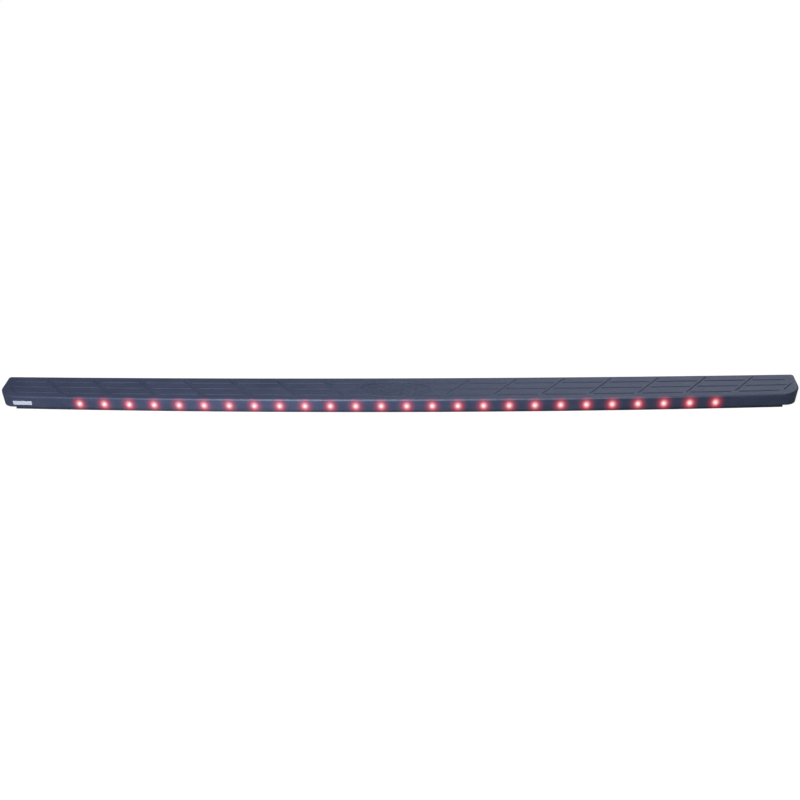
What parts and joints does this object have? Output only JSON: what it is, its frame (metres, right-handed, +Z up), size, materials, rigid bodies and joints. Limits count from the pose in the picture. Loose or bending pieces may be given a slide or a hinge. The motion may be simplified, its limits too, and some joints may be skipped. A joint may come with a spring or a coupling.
{
  "type": "third brake light",
  "caption": "Full-width moulded tailgate cap with a treaded top, a row of red lights in its rear wall and a sealed lamp module behind them.",
  "frame": {"origin": "under the middle of the part's box, on the surface it stands on", "axes": "+X to the right seen from behind the vehicle, along the cap; -Y to the rear of the vehicle, out of the lit wall; +Z up"},
  "size_m": [1.5182, 0.1028, 0.0298],
  "materials": {
    "moulded_black": "fine moulded grain, satin",
    "housing_grey": "smooth moulded",
    "red_lens": "clear tinted lens, lit",
    "board_green": "lacquered circuit board",
    "zinc_steel": "bright zinc plate",
    "black_rubber": "matt rubber",
    "seal_foam": "closed-cell foam",
    "adhesive_tape": "foam tape with its red liner on",
    "wire_red": "insulated wire",
    "wire_black": "insulated wire",
    "badge_plate": "plain printed plate, no lettering"
  },
  "bodies": {
    "root": {"badge_plate": "badge_plate", "cable_gland": "black_rubber", "circuit_board_left": "board_green", "circuit_board_right": "board_green", "edge_trim": "black_rubber", "feed_black": "wire_black", "feed_red": "wire_red", "gasket_left": "seal_foam", "gasket_right": "seal_foam", "housing_end_plug_left": "housing_grey", "housing_end_plug_right": "housing_grey", "housing_joint_seal": "black_rubber", "housing_screw_1": "zinc_steel", "housing_screw_2": "zinc_steel", "housing_screw_3": "zinc_steel", "housing_screw_4": "zinc_steel", "housing_screw_5": "zinc_steel", "housing_screw_6": "zinc_steel", "housing_screw_7": "zinc_steel", "housing_screw_8": "zinc_steel", "jumper_black": "wire_black", "jumper_red": "wire_red", "led_01": "red_lens", "led_02": "red_lens", "led_03": "red_lens", "led_04": "red_lens", "led_05": "red_lens", "led_06": "red_lens", "led_07": "red_lens", "led_08": "red_lens", "led_09": "red_lens", "led_10": "red_lens", "led_11": "red_lens", "led_12": "red_lens", "led_13": "red_lens", "led_14": "red_lens", "led_15": "red_lens", "led_16": "red_lens", "led_17": "red_lens", "led_18": "red_lens", "led_19": "red_lens", "led_20": "red_lens", "led_21": "red_lens", "led_22": "red_lens", "led_23": "red_lens", "led_24": "red_lens", "led_25": "red_lens", "led_26": "red_lens", "led_housing_left": "housing_grey", "led_housing_right": "housing_grey", "tape_bed_left": "adhesive_tape", "tape_bed_right": "adhesive_tape", "tape_rear_left": "adhesive_tape", "tape_rear_right": "adhesive_tape", "top_cap": "moulded_black"}
  },
  "joints": []
}
